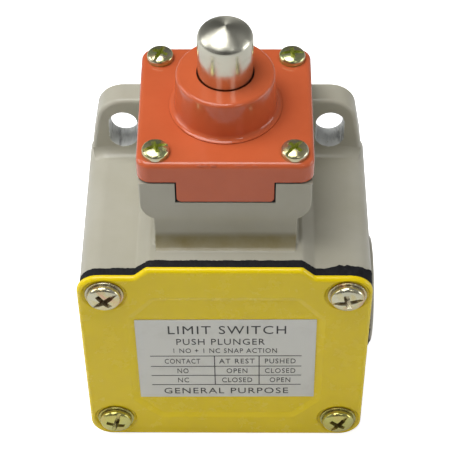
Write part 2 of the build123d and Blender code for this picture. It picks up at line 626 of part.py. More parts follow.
head_screw = pan_screw(M3_HEAD_RADIUS, M3_HEAD_HEIGHT, M3_RADIUS, HEAD_SCREW_LENGTH)
HEAD_SCREW_TURNS = ((-1, -1, 20), (1, -1, 48), (-1, 1, 65), (1, 1, 5))
with BuildPart() as head_screws:
    for side, row, turn in HEAD_SCREW_TURNS:
        spot = (side * HEAD_SCREW_PITCH / 2, HEAD_CENTRE_Y + row * HEAD_SCREW_PITCH / 2, FLANGE_TOP)
        with Locations(Location(spot, (0, 0, turn))):
            add(head_screw)
head_screws.part.label = "head_screws"
export_step(head_screws.part, "parts/head_screws.step")

# ================================================================ plunger and its guide
GROOVE_RADIUS = 5.0
PLUNGER_TAIL_RADIUS = 2.5
PLUNGER_TAIL_END = STEM_TOP + 0.05
PLUNGER_AXIS = Axis((0, HEAD_CENTRE_Y, 0), (0, 0, 1))

with BuildPart() as plunger:
    with BuildSketch(Plane.XZ.offset(-HEAD_CENTRE_Y)):
        with BuildLine():
            outline = Polyline(
                (0, PLUNGER_TOP),
                (0, PLUNGER_TAIL_END),
                (PLUNGER_TAIL_RADIUS, PLUNGER_TAIL_END),
                (PLUNGER_TAIL_RADIUS, PLUNGER_STEP),
                (PLUNGER_RADIUS, PLUNGER_STEP),
                (PLUNGER_RADIUS, SNAP_RING_TOP - SNAP_RING_THICKNESS - FIT_GAP),
                (GROOVE_RADIUS, SNAP_RING_TOP - SNAP_RING_THICKNESS - FIT_GAP),
                (GROOVE_RADIUS, SNAP_RING_TOP + FIT_GAP),
                (PLUNGER_RADIUS, SNAP_RING_TOP + FIT_GAP),
                (PLUNGER_RADIUS, PLUNGER_SHOULDER),
            )
            half_radius = PLUNGER_RADIUS / 2
            half_level = PLUNGER_TOP - DOME_RADIUS + math.sqrt(DOME_RADIUS**2 - half_radius**2)
            ThreePointArc(outline @ 1, (half_radius, half_level), outline @ 0)
        make_face()
    revolve(axis=PLUNGER_AXIS)
    shoulder_edge = plunger.edges().filter_by(lambda rim: abs(rim.center().Z - PLUNGER_SHOULDER) < 0.01)
    fillet(shoulder_edge, DOME_SHOULDER_RADIUS)
    chamfer(plunger.faces().sort_by(Axis.Z)[0].edges(), 0.5)
plunger.part.label = "plunger"
export_step(plunger.part, "parts/plunger.step")

with BuildPart() as plunger_wiper_seal:
    with BuildSketch(Plane.XZ.offset(-HEAD_CENTRE_Y)):
        with BuildLine():
            seal_inner = PLUNGER_RADIUS + 0.03
            seal_outer = HEAD_BORE - FIT_GAP
            Polyline(
                (seal_outer, SEAL_TOP - 3.2 + FIT_GAP),
                (seal_outer, SEAL_TOP - FIT_GAP),
                (seal_inner + 0.9, SEAL_TOP - FIT_GAP),
                (seal_inner, SEAL_TOP - 0.5),
                (seal_inner, SEAL_TOP - 1.3),
                (seal_inner + 0.7, SEAL_TOP - 1.7),
                (seal_inner + 0.7, SEAL_TOP - 2.4),
                (seal_inner, SEAL_TOP - 2.8),
                (seal_inner, SEAL_TOP - 3.2 + FIT_GAP),
                close=True,
            )
        make_face()
    revolve(axis=PLUNGER_AXIS)
plunger_wiper_seal.part.label = "plunger_wiper_seal"
export_step(plunger_wiper_seal.part, "parts/plunger_wiper_seal.step")

with BuildPart() as guide_bush:
    with BuildSketch(Plane.XY.offset(BUSH_BOTTOM)):
        with Locations((0, HEAD_CENTRE_Y)):
            Circle(HEAD_BORE - FIT_GAP)
            Circle(PLUNGER_RADIUS + 0.05, mode=Mode.SUBTRACT)
    extrude(amount=BUSH_TOP - BUSH_BOTTOM)
    chamfer(guide_bush.edges().filter_by(GeomType.CIRCLE).filter_by(lambda rim: rim.radius < 6), 0.3)
guide_bush.part.label = "guide_bush"
export_step(guide_bush.part, "parts/guide_bush.step")

with BuildPart() as plunger_snap_ring:
    with BuildSketch(Plane.XY.offset(SNAP_RING_TOP - SNAP_RING_THICKNESS)):
        with Locations((0, HEAD_CENTRE_Y)):
            Circle(PLUNGER_RADIUS + 1.7)
            Circle(GROOVE_RADIUS + FIT_GAP, mode=Mode.SUBTRACT)
        with Locations((0, HEAD_CENTRE_Y - PLUNGER_RADIUS)):
            Rectangle(3.0, PLUNGER_RADIUS, mode=Mode.SUBTRACT)
    extrude(amount=SNAP_RING_THICKNESS)
plunger_snap_ring.part.label = "plunger_snap_ring"
export_step(plunger_snap_ring.part, "parts/plunger_snap_ring.step")

with BuildPart() as spring_cap:
    with BuildSketch(Plane.XY.offset(SPRING_CAP_BOTTOM)):
        with Locations((0, HEAD_CENTRE_Y)):
            Circle(PLUNGER_RADIUS + 1.9)
            Circle(PLUNGER_TAIL_RADIUS + FIT_GAP, mode=Mode.SUBTRACT)
    extrude(amount=SPRING_CAP_THICKNESS - FIT_GAP)
    chamfer(spring_cap.edges().filter_by(GeomType.CIRCLE).filter_by(lambda rim: rim.radius > 6), 0.15)
spring_cap.part.label = "spring_cap"
export_step(spring_cap.part, "parts/spring_cap.step")

with BuildPart() as spring_seat:
    with BuildSketch(Plane.XY.offset(SPRING_SEAT_LEVEL)):
        with Locations((0, HEAD_CENTRE_Y)):
            Circle(NECK_BORE - 0.1)
            Circle(PLUNGER_TAIL_RADIUS + 0.8, mode=Mode.SUBTRACT)
    extrude(amount=SPRING_SEAT_THICKNESS)
    chamfer(spring_seat.edges().filter_by(GeomType.CIRCLE).filter_by(lambda rim: rim.radius > 6), 0.15)
spring_seat.part.label = "spring_seat"
export_step(spring_seat.part, "parts/spring_seat.step")

RETURN_SPRING_BOTTOM = SPRING_SEAT_LEVEL + SPRING_SEAT_THICKNESS + FIT_GAP
return_coil = coil_spring(6.2, 0.5, RETURN_SPRING_BOTTOM, SPRING_CAP_BOTTOM - FIT_GAP, 4.5)
with BuildPart() as return_spring:
    add(return_coil)
return_spring.part.label = "return_spring"
export_step(return_spring.part, "parts/return_spring.step")

# ================================================================ contact block
BLOCK_MIDDLE = (BLOCK_BOTTOM + BLOCK_TOP) / 2
NC_STRIP_TOP = NC_STRIP + STRIP_THICKNESS
NO_STRIP_BOTTOM = NO_STRIP - STRIP_THICKNESS
LOBE_TOP = NC_TERMINAL + TERMINAL_PAD / 2 + 0.6
LOBE_BOTTOM = NO_TERMINAL - TERMINAL_PAD / 2 - 0.6
SCREW_TIP_BACK = -17.0  # floor of the holes behind the terminal pads


def front_box(x_range, z_range, y_range):
    """Block given by its extents along x, z and y."""
    with BuildPart() as block:
        with BuildSketch(front_plane(max(y_range))):
            with Locations((x_range[0], z_range[0])):
                size = (x_range[1] - x_range[0], z_range[1] - z_range[0])
                Rectangle(*size, align=(Align.MIN, Align.MIN))
        extrude(amount=max(y_range) - min(y_range))
    return block.part


case_channel = front_box(
    (-CHANNEL_HALF, CHANNEL_HALF),
    (CHANNEL_FLOOR, CHANNEL_ROOF),
    (BLOCK_FRONT, CHANNEL_BACK),
)
cover_rebate = front_box(
    (-BLOCK_COVER_HALF, BLOCK_COVER_HALF),
    (BLOCK_BOTTOM + 1, BLOCK_TOP - 1),
    (BLOCK_FRONT, BLOCK_FRONT + BLOCK_COVER_THICKNESS),
)
case_cuts = [case_channel, cover_rebate]
for side in (-1, 1):
    lobe = sorted((side * LOBE_INNER, side * (LOBE_OUTER + FIT_GAP)))
    case_cuts.append(front_box(lobe, (NO_STRIP_BOTTOM, NC_STRIP_TOP), (BLOCK_FRONT, LOBE_BACK)))
    case_cuts.append(front_box(lobe, (NC_STRIP_TOP, LOBE_TOP), (BLOCK_FRONT, PAD_BACK)))
    case_cuts.append(front_box(lobe, (LOBE_BOTTOM, NO_STRIP_BOTTOM), (BLOCK_FRONT, PAD_BACK)))
    strip_slot = sorted((side * (CHANNEL_HALF - 0.5), side * LOBE_INNER))
    slot_back = STEM_Y + STRIP_DEPTH / 2 + FIT_GAP
    case_cuts.append(front_box(strip_slot, (NC_STRIP, NC_STRIP_TOP), (BLOCK_FRONT, slot_back)))
    case_cuts.append(front_box(strip_slot, (NO_STRIP_BOTTOM, NO_STRIP), (BLOCK_FRONT, slot_back)))

with BuildPart() as contact_block_case:
    with BuildSketch(front_plane(BLOCK_BACK)):
        with Locations((0, BLOCK_MIDDLE)):
            RectangleRounded(2 * BLOCK_HALF_WIDTH, BLOCK_TOP - BLOCK_BOTTOM, 0.8)
    extrude(amount=BLOCK_BACK - BLOCK_FRONT)
    for cut in case_cuts:
        add(cut, mode=Mode.SUBTRACT)
    with BuildSketch(front_plane(PAD_BACK)):
        with Locations(*TERMINALS):
            Circle(M3_RADIUS + 0.3)
    extrude(amount=PAD_BACK - SCREW_TIP_BACK, mode=Mode.SUBTRACT)
    with BuildSketch(front_plane(LOBE_BACK)):
        with Locations(*BLOCK_SCREWS):
            Circle(M3_RADIUS + 0.2)
    extrude(amount=LOBE_BACK - BLOCK_BACK, mode=Mode.SUBTRACT)
    with BuildSketch(Plane.XY.offset(BLOCK_TOP)):
        with Locations((0, STEM_Y)):
            Circle(STEM_RADIUS + 0.05)
    extrude(amount=-3, mode=Mode.SUBTRACT)
contact_block_case.part.label = "contact_block_case"
export_step(contact_block_case.part, "parts/contact_block_case.step")

with BuildPart() as contact_block_cover:
    with BuildSketch(front_plane(BLOCK_FRONT + BLOCK_COVER_THICKNESS)):
        with Locations((0, BLOCK_MIDDLE)):
            width = 2 * BLOCK_COVER_HALF - 0.1
            Rectangle(width, BLOCK_TOP - BLOCK_BOTTOM - 2.1)
    extrude(amount=BLOCK_COVER_THICKNESS)
    chamfer(contact_block_cover.faces().sort_by(Axis.Y)[0].edges(), 0.3)
contact_block_cover.part.label = "contact_block_cover"
export_step(contact_block_cover.part, "parts/contact_block_cover.step")

# Stem with a window that carries the bridge.
with BuildPart() as contact_stem:
    with BuildSketch(Plane.XY.offset(STEM_BOTTOM)):
        with Locations((0, STEM_Y)):
            Rectangle(2 * STEM_HALF_WIDTH, 2 * STEM_HALF_DEPTH)
    extrude(amount=WINDOW_TOP + STEM_WEB - STEM_BOTTOM)
    with BuildSketch(Plane.YZ):
        with Locations((STEM_Y, WINDOW_BOTTOM)):
            Rectangle(BRIDGE_DEPTH + 0.1, WINDOW_TOP - WINDOW_BOTTOM, align=(Align.CENTER, Align.MIN))
    extrude(amount=STEM_HALF_WIDTH + 1, both=True, mode=Mode.SUBTRACT)
    with BuildSketch(Plane.XY.offset(WINDOW_TOP + STEM_WEB)):
        with Locations((0, STEM_Y)):
            Circle(STEM_RADIUS)
    extrude(amount=STEM_TOP - WINDOW_TOP - STEM_WEB)
    fillet(contact_stem.faces().sort_by(Axis.Z)[-1].edges(), 0.6)
contact_stem.part.label = "contact_stem"
export_step(contact_stem.part, "parts/contact_stem.step")

with BuildPart() as contact_bridge:
    with BuildSketch(Plane.XY.offset(BRIDGE_BOTTOM)):
        with Locations((0, STEM_Y)):
            RectangleRounded(2 * BRIDGE_HALF, BRIDGE_DEPTH, 1.2)
    extrude(amount=BRIDGE_THICKNESS)
contact_bridge.part.label = "contact_bridge"
export_step(contact_bridge.part, "parts/contact_bridge.step")

with BuildPart() as bridge_contacts:
    for level, rise in ((BRIDGE_TOP, MOVING_CONTACT_HEIGHT), (BRIDGE_BOTTOM, -MOVING_CONTACT_HEIGHT)):
        with BuildSketch(Plane.XY.offset(level)):
            with Locations((-CONTACT_X, STEM_Y), (CONTACT_X, STEM_Y)):
                Circle(CONTACT_RADIUS)
        extrude(amount=rise)
bridge_contacts.part.label = "bridge_contacts"
export_step(bridge_contacts.part, "parts/bridge_contacts.step")

with BuildPart() as fixed_contacts:
    for level, rise in ((NC_STRIP, -FIXED_CONTACT_HEIGHT), (NO_STRIP, FIXED_CONTACT_HEIGHT)):
        with BuildSketch(Plane.XY.offset(level)):
            with Locations((-CONTACT_X, STEM_Y), (CONTACT_X, STEM_Y)):
                Circle(CONTACT_RADIUS)
        extrude(amount=rise)
fixed_contacts.part.label = "fixed_contacts"
export_step(fixed_contacts.part, "parts/fixed_contacts.step")


def terminal_pair(strip_bottom, pad_bottom):
    """Two mirrored terminals: a flat contact strip with an upright pad for the clamping screw."""
    with BuildPart() as pair:
        for side in (-1, 1):
            with BuildSketch(Plane.XY.offset(strip_bottom)):
                with Locations((side * (STRIP_INNER + LOBE_OUTER) / 2, STEM_Y)):
                    Rectangle(LOBE_OUTER - STRIP_INNER, STRIP_DEPTH)
                with Locations((side * (TERMINAL_X + 0.1), (PAD_FRONT + STEM_Y) / 2)):
                    Rectangle(TERMINAL_PAD - 0.2, STEM_Y - PAD_FRONT)
            extrude(amount=STRIP_THICKNESS)
            with BuildSketch(front_plane(PAD_BACK)):
                with Locations((side * (TERMINAL_X + 0.1), pad_bottom)):
                    height = TERMINAL_PAD + STRIP_THICKNESS / 2
                    Rectangle(TERMINAL_PAD - 0.2, height, align=(Align.CENTER, Align.MIN))
            extrude(amount=STRIP_THICKNESS)
            with BuildSketch(front_plane(PAD_BACK)):
                with Locations((side * TERMINAL_X, pad_bottom + TERMINAL_PAD / 2 + 0.25)):
                    Circle(M3_RADIUS + FIT_GAP)
            extrude(amount=STRIP_THICKNESS, mode=Mode.SUBTRACT)
    return pair.part


nc_pair = terminal_pair(NC_STRIP, NC_STRIP + 0.25)
no_pair = terminal_pair(NO_STRIP_BOTTOM, NO_STRIP - 0.25 - TERMINAL_PAD - STRIP_THICKNESS / 2)
with BuildPart() as nc_terminals:
    add(nc_pair)
nc_terminals.part.label = "nc_terminals"
export_step(nc_terminals.part, "parts/nc_terminals.step")

with BuildPart() as no_terminals:
    add(no_pair)
no_terminals.part.label = "no_terminals"
export_step(no_terminals.part, "parts/no_terminals.step")

# ================================================================ fasteners inside the housing
TERMINAL_SCREW_LENGTH = 6.0
BLOCK_SCREW_LENGTH = 8.5
EARTH_SCREW_LENGTH = 5.5
terminal_screw = pan_screw(M3_HEAD_RADIUS, M3_HEAD_HEIGHT, M3_RADIUS, TERMINAL_SCREW_LENGTH)
block_screw = pan_screw(M3_HEAD_RADIUS, M3_HEAD_HEIGHT, M3_RADIUS, BLOCK_SCREW_LENGTH)
earth_bolt = pan_screw(M4_HEAD_RADIUS, M4_HEAD_HEIGHT, M4_RADIUS, EARTH_SCREW_LENGTH)
block_washer = ring(3.2, M3_RADIUS + 0.15, BLOCK_WASHER_THICKNESS)

with BuildPart() as terminal_clamps:
    with BuildSketch(front_plane(PAD_FRONT)):
        with Locations(*TERMINALS):
            Rectangle(CLAMP_SIZE, CLAMP_SIZE)
            Circle(M3_RADIUS + 0.15, mode=Mode.SUBTRACT)
    extrude(amount=CLAMP_THICKNESS)
    fillet(terminal_clamps.edges().filter_by(Axis.Y), 0.6)
terminal_clamps.part.label = "terminal_clamps"
export_step(terminal_clamps.part, "parts/terminal_clamps.step")

with BuildPart() as terminal_screws:
    for x, z in TERMINALS:
        with Locations(facing_front(x, PAD_FRONT - CLAMP_THICKNESS, z, 7 * x + 3 * z)):
            add(terminal_screw)
terminal_screws.part.label = "terminal_screws"
export_step(terminal_screws.part, "parts/terminal_screws.step")

with BuildPart() as contact_block_screw_washers:
    for x, z in BLOCK_SCREWS:
        with Locations(facing_front(x, LOBE_BACK, z)):
            add(block_washer)
contact_block_screw_washers.part.label = "contact_block_screw_washers"
export_step(contact_block_screw_washers.part, "parts/contact_block_screw_washers.step")

with BuildPart() as contact_block_screws:
    for x, z in BLOCK_SCREWS:
        with Locations(facing_front(x, LOBE_BACK - BLOCK_WASHER_THICKNESS, z, 20 + x)):
            add(block_screw)
contact_block_screws.part.label = "contact_block_screws"
export_step(contact_block_screws.part, "parts/contact_block_screws.step")

with BuildPart() as earth_clamp:
    with BuildSketch(front_plane(EARTH_PAD)):
        with Locations(EARTH_SCREW):
            Rectangle(8.4, 8.4)
            Circle(M4_RADIUS + 0.15, mode=Mode.SUBTRACT)
    extrude(amount=1.0)
    fillet(earth_clamp.edges().filter_by(Axis.Y).group_by(Axis.Z)[0], 0.8)
earth_clamp.part.label = "earth_clamp"
export_step(earth_clamp.part, "parts/earth_clamp.step")

with BuildPart() as earth_screw:
    with Locations(facing_front(EARTH_SCREW[0], EARTH_PAD - 1.0, EARTH_SCREW[1], 30)):
        add(earth_bolt)
earth_screw.part.label = "earth_screw"
export_step(earth_screw.part, "parts/earth_screw.step")

# ================================================================ contact springs
contact_coil = coil_spring(1.45, 0.22, BRIDGE_TOP + FIT_GAP, WINDOW_TOP - FIT_GAP, 5)
stem_coil = coil_spring(2.8, 0.3, CHANNEL_FLOOR + FIT_GAP, STEM_BOTTOM - FIT_GAP, 5)

with BuildPart() as contact_spring:
    add(contact_coil)
contact_spring.part.label = "contact_spring"
export_step(contact_spring.part, "parts/contact_spring.step")

with BuildPart() as stem_return_spring:
    add(stem_coil)
stem_return_spring.part.label = "stem_return_spring"
export_step(stem_return_spring.part, "parts/stem_return_spring.step")
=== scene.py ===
import json
import math

import bmesh
import bpy
from mathutils import Matrix, Vector, noise


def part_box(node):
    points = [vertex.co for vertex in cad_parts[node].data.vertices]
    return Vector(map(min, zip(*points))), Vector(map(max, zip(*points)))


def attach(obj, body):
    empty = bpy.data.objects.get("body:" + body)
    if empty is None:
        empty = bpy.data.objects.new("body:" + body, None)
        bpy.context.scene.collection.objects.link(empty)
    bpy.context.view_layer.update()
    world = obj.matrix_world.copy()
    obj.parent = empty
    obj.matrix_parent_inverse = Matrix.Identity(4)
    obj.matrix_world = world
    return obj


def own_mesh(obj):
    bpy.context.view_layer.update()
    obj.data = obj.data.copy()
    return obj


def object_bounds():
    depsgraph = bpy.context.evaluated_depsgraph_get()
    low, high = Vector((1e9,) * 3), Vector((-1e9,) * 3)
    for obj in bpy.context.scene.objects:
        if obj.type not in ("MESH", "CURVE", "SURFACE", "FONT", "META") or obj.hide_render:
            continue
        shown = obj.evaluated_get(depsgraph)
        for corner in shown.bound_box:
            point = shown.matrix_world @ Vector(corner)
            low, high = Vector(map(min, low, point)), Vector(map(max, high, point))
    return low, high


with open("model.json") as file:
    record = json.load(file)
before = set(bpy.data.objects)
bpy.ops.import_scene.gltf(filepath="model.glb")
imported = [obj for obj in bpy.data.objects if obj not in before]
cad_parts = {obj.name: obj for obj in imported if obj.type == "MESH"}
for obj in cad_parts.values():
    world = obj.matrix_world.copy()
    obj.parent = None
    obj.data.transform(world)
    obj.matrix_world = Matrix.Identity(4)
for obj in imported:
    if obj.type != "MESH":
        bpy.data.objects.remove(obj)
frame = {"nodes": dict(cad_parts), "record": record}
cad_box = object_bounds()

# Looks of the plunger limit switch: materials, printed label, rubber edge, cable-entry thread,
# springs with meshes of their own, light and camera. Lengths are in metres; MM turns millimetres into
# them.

MM = 0.001
nodes = frame["nodes"]
scene = bpy.context.scene
mounts = {mount["name"]: mount for mount in frame["record"]["mounts"]}


def middle(node):
    """Centre of a CAD node's box."""
    low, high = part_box(node)
    return (low + high) / 2


PLUNGER_AXIS_Y = middle("plunger").y
SHAFT_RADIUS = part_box("plunger")[1].x
SLOT = mounts["right_mounting_slot"]
SLOT_X = SLOT["pos_m"][0]
SLOT_RADIUS = SLOT["dims"]["hole_r_mm"] * MM
SLOT_REACH = SLOT["dims"]["slot_length_mm"] / 2 * MM - SLOT_RADIUS
ENTRY = mounts["cable_entry"]
HEAD_SCREW_RISE = 2.0 * MM  # height of the head screws' heads


# ---------------------------------------------------------------- node graph helper
class Shader:
    """One material's node graph. Sockets and plain values are both accepted as inputs."""

    def __init__(self, name):
        self.material = bpy.data.materials.new(name)
        self.material.use_nodes = True
        self.tree = self.material.node_tree
        self.surface = self.tree.nodes["Principled BSDF"]
        self.position = self.node("ShaderNodeTexCoord").outputs["Object"]

    def node(self, kind, **settings):
        made = self.tree.nodes.new(kind)
        for key, value in settings.items():
            setattr(made, key, value)
        return made

    def put(self, target, value):
        if isinstance(value, bpy.types.NodeSocket):
            self.tree.links.new(value, target)
        elif value is not None:
            target.default_value = value

    def math(self, operation, first, second=None, third=None, clamp=False):
        made = self.node("ShaderNodeMath", operation=operation, use_clamp=clamp)
        for target, value in zip(made.inputs, (first, second, third)):
            self.put(target, value)
        return made.outputs[0]

    def mix(self, share, first, second, blend="MIX"):
        made = self.node("ShaderNodeMix", data_type="RGBA", blend_type=blend)
        self.put(made.inputs["Factor"], share)
        self.put(made.inputs["A"], first)
        self.put(made.inputs["B"], second)
        return made.outputs["Result"]

    def ramp(self, value, *stops):
        made = self.node("ShaderNodeValToRGB")
        elements = made.color_ramp.elements
        while len(elements) < len(stops):
            elements.new(0.5)
        for element, (place, color) in zip(elements, stops):
            element.position = place
            element.color = color if len(color) == 4 else (*color, 1)
        self.put(made.inputs[0], value)
        return made.outputs["Color"]

    def band(self, value, low, high):
        """0 below low, 1 above high, straight between them; low may be the larger one."""
        made = self.node("ShaderNodeMapRange", clamp=True)
        for name, number in (("Value", value), ("From Min", low), ("From Max", high)):
            self.put(made.inputs[name], number)
        return made.outputs["Result"]

    def noise(self, scale, detail=3.0, rough=0.5, stretch=None, warp=0.0):
        made = self.node("ShaderNodeTexNoise")
        coordinates = self.stretched(stretch) if stretch else self.position
        self.put(made.inputs["Vector"], coordinates)
        self.put(made.inputs["Scale"], scale)
        self.put(made.inputs["Detail"], detail)
        self.put(made.inputs["Roughness"], rough)
        self.put(made.inputs["Distortion"], warp)
        return made.outputs["Fac"]

    def stretched(self, stretch):
        made = self.node("ShaderNodeMapping")
        self.put(made.inputs["Vector"], self.position)
        made.inputs["Scale"].default_value = stretch
        return made.outputs["Vector"]

    def specks(self, scale, size, share):
        """Small round dots: 1 inside a dot. Only a share of the cells holds one."""
        cells = self.node("ShaderNodeTexVoronoi")
        self.put(cells.inputs["Vector"], self.position)
        self.put(cells.inputs["Scale"], scale)
        split = self.node("ShaderNodeSeparateColor")
        self.put(split.inputs[0], cells.outputs["Color"])
        chosen = self.math("LESS_THAN", split.outputs[0], share)
        radius = self.math("MULTIPLY", split.outputs[1], size)
        dot = self.band(cells.outputs["Distance"], radius, self.math("MULTIPLY", radius, 0.6))
        return self.math("MULTIPLY", dot, chosen)

    def axes(self):
        split = self.node("ShaderNodeSeparateXYZ")
        self.put(split.inputs[0], self.position)
        return split.outputs

    def crevice(self, distance):
        """1 in the open, falling towards 0 in corners and recesses."""
        made = self.node("ShaderNodeAmbientOcclusion", samples=3)
        self.put(made.inputs["Distance"], distance)
        return made.outputs["AO"]

    def bump(self, height, strength, distance, below=None):
        made = self.node("ShaderNodeBump")
        self.put(made.inputs["Height"], height)
        self.put(made.inputs["Strength"], strength)
        self.put(made.inputs["Distance"], distance)
        self.put(made.inputs["Normal"], below)
        return made.outputs["Normal"]

    def finish(self, **values):
        for key, value in values.items():
            self.put(self.surface.inputs[key.replace("_", " ")], value)
        return self.material


def srgb(red, green, blue):
    """Linear colour from the 0 to 255 numbers of a colour picker."""
    channels = []
    for part in (red, green, blue):
        part /= 255
        channels.append(part / 12.92 if part <= 0.04045 else ((part + 0.055) / 1.055) ** 2.4)
    return (*channels, 1)


PALE_DUST = srgb(238, 234, 224)


def enamel(name, color, shade, dirt_and_shade, rough, coat, peel, dust=0.35):
    """Sprayed enamel with orange peel, faint clouding, dust nibs, dark specks, scratches and painted
    shade in the corners.
    """
    s = Shader(name)
    cloud = s.noise(55, 4, 0.6)
    paint = s.mix(s.band(cloud, 0.35, 0.7), color, shade)
    paint = s.mix(s.math("MULTIPLY", s.specks(300, 0.035, 0.14), 0.7), paint, dirt_and_shade)
    paint = s.mix(s.math("MULTIPLY", s.specks(900, 0.06, 0.05), dust), paint, PALE_DUST)
    # Painted shade: ambient occlusion darkens corners and recesses towards the dark colour.
    crevice_shade = s.band(s.crevice(1.1 * MM), 0.7, 0.2)
    paint = s.mix(s.math("MULTIPLY", crevice_shade, 0.6), paint, dirt_and_shade)
    skin = s.noise(peel, 2, 0.5)
    normal = s.bump(skin, 0.35, 0.03 * MM)
    normal = s.bump(s.noise(2600, 3, 0.6), 0.1, 0.015 * MM, normal)
    normal = s.bump(s.specks(420, 0.08, 0.1), 0.5, 0.03 * MM, normal)
    scratch = s.band(s.noise(600, 4, 0.8, stretch=(1, 1, 0.08), warp=0.4), 0.68, 0.74)
    normal = s.bump(scratch, 0.2, 0.01 * MM, normal)
    wear = s.band(s.noise(240, 4, 0.7), 0.4, 0.75)
    s.paint, s.normal = paint, normal
    s.roughness = s.math("MULTIPLY_ADD", wear, 0.1, rough)
    s.finish(
        Base_Color=paint,
        Roughness=s.roughness,
        Normal=normal,
        Coat_Weight=coat,
        Coat_Roughness=0.08,
        Specular_IOR_Level=0.3,
    )
    return s


# ---------------------------------------------------------------- materials
def housing_material():
    """Grey-beige enamel with painted shade, olive-brown and partly dust, in the hollow under the neck,
    and with part of the slots' walls bare.
    """
    grey, brown_grey = srgb(184, 181, 166), srgb(176, 172, 154)
    s = enamel("housing_enamel", grey, brown_grey, srgb(64, 58, 44), 0.3, 0.25, 380)
    x, y, z = s.axes()
    # Painted shade, olive-brown and partly dust, in the hollow at the neck's foot: a band just above the
    # gasket's ridge, near the neck's front and within its width.
    ridge_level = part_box("cover_gasket")[1].z
    neck_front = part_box("actuator_head")[0].y
    height = s.math("SUBTRACT", z, ridge_level)
    low = s.band(height, 4.0 * MM, 2.2 * MM)
    above = s.band(height, 0.02 * MM, 0.15 * MM)
    near = s.band(s.math("ABSOLUTE", s.math("SUBTRACT", y, neck_front)), 4.0 * MM, 3.1 * MM)
    inside = s.band(s.math("ABSOLUTE", x), 15.6 * MM, 15.0 * MM)
    blotch = s.band(s.noise(210, 4, 0.6), 0.3, 0.7)
    darkening = s.math("MULTIPLY", s.math("MULTIPLY", low, above), s.math("MULTIPLY", near, inside))
    darkening = s.math("MULTIPLY", darkening, s.math("MULTIPLY_ADD", blotch, 0.25, 0.6))
    paint = s.mix(darkening, s.paint, srgb(126, 112, 60))

    across = s.math("SUBTRACT", s.math("ABSOLUTE", x), SLOT_X)
    along = s.math("MAXIMUM", s.math("SUBTRACT", s.math("ABSOLUTE", z), SLOT_REACH), 0.0)
    reach = s.math("SQRT", s.math("ADD", s.math("POWER", across, 2), s.math("POWER", along, 2)))
    ragged = s.math("MULTIPLY_ADD", s.noise(900, 5, 0.8), 0.8 * MM, SLOT_RADIUS - 0.3 * MM)
    bare = s.math("LESS_THAN", reach, ragged)
    # Darker streaks on the bare walls, stronger towards the bottom and the outer side.
    streaks = s.noise(420, 5, 0.75, stretch=(1, 0.25, 1))
    outer_side = s.band(across, -1.0 * MM, 3.0 * MM)
    dark_streaks = s.math("MULTIPLY", s.band(streaks, 0.46, 0.62), s.band(z, 1.0 * MM, -4.5 * MM))
    dark_streaks = s.math("MULTIPLY", dark_streaks, s.math("MULTIPLY_ADD", outer_side, 0.8, 0.2))
    metal = s.mix(dark_streaks, srgb(218, 220, 218), srgb(58, 62, 68))
    roughness = s.math("ADD", s.roughness, s.math("MULTIPLY", bare, 0.15))
    return s.finish(
        Base_Color=s.mix(bare, paint, metal),
        Metallic=s.math("MULTIPLY", bare, 0.12),
        Roughness=roughness,
    )


def zinc_material(name, gold, green, rose, recess, green_below=None):
    """Yellow-passivated zinc plate: a gold film with green and rose clouds, and in the recess a darker
    film colour that is partly painted shade.

    Screws under the level green_below have a greener film.
    """
    s = Shader(name)
    facing = s.node("ShaderNodeLayerWeight")
    facing.inputs["Blend"].default_value = 0.35
    cloud = s.noise(150, 3, 0.6, warp=0.8)
    film = s.math("ADD", cloud, s.math("MULTIPLY", facing.outputs["Facing"], 0.22))
    tint = s.ramp(film, (0.34, gold), (0.48, green), (0.58, gold), (0.68, rose), (0.8, green))
    if green_below is not None:
        lower = s.band(s.axes()[2], green_below, green_below - 2 * MM)
        tint = s.mix(s.math("MULTIPLY", lower, 0.65), tint, GREEN_FILM)
    # Partly painted shade: ambient occlusion turns the recess and corners towards the recess colour and
    # less metallic, partly the film's own colour there.
    dirt_and_shade = s.band(s.crevice(1.5 * MM), 0.72, 0.42)
    color = s.mix(s.math("MULTIPLY", dirt_and_shade, 0.9), tint, recess)
    scratches = s.noise(900, 5, 0.7, stretch=(1, 6, 1))
    normal = s.bump(scratches, 0.15, 0.015 * MM)
    normal = s.bump(s.noise(420, 2), 0.04, 0.05 * MM, normal)
    roughness = s.math("MULTIPLY_ADD", s.noise(1500, 3), 0.18, 0.13)
    metallic = s.math("MULTIPLY_ADD", dirt_and_shade, -0.6, 0.9)
    return s.finish(Base_Color=color, Metallic=metallic, Roughness=roughness, Normal=normal)


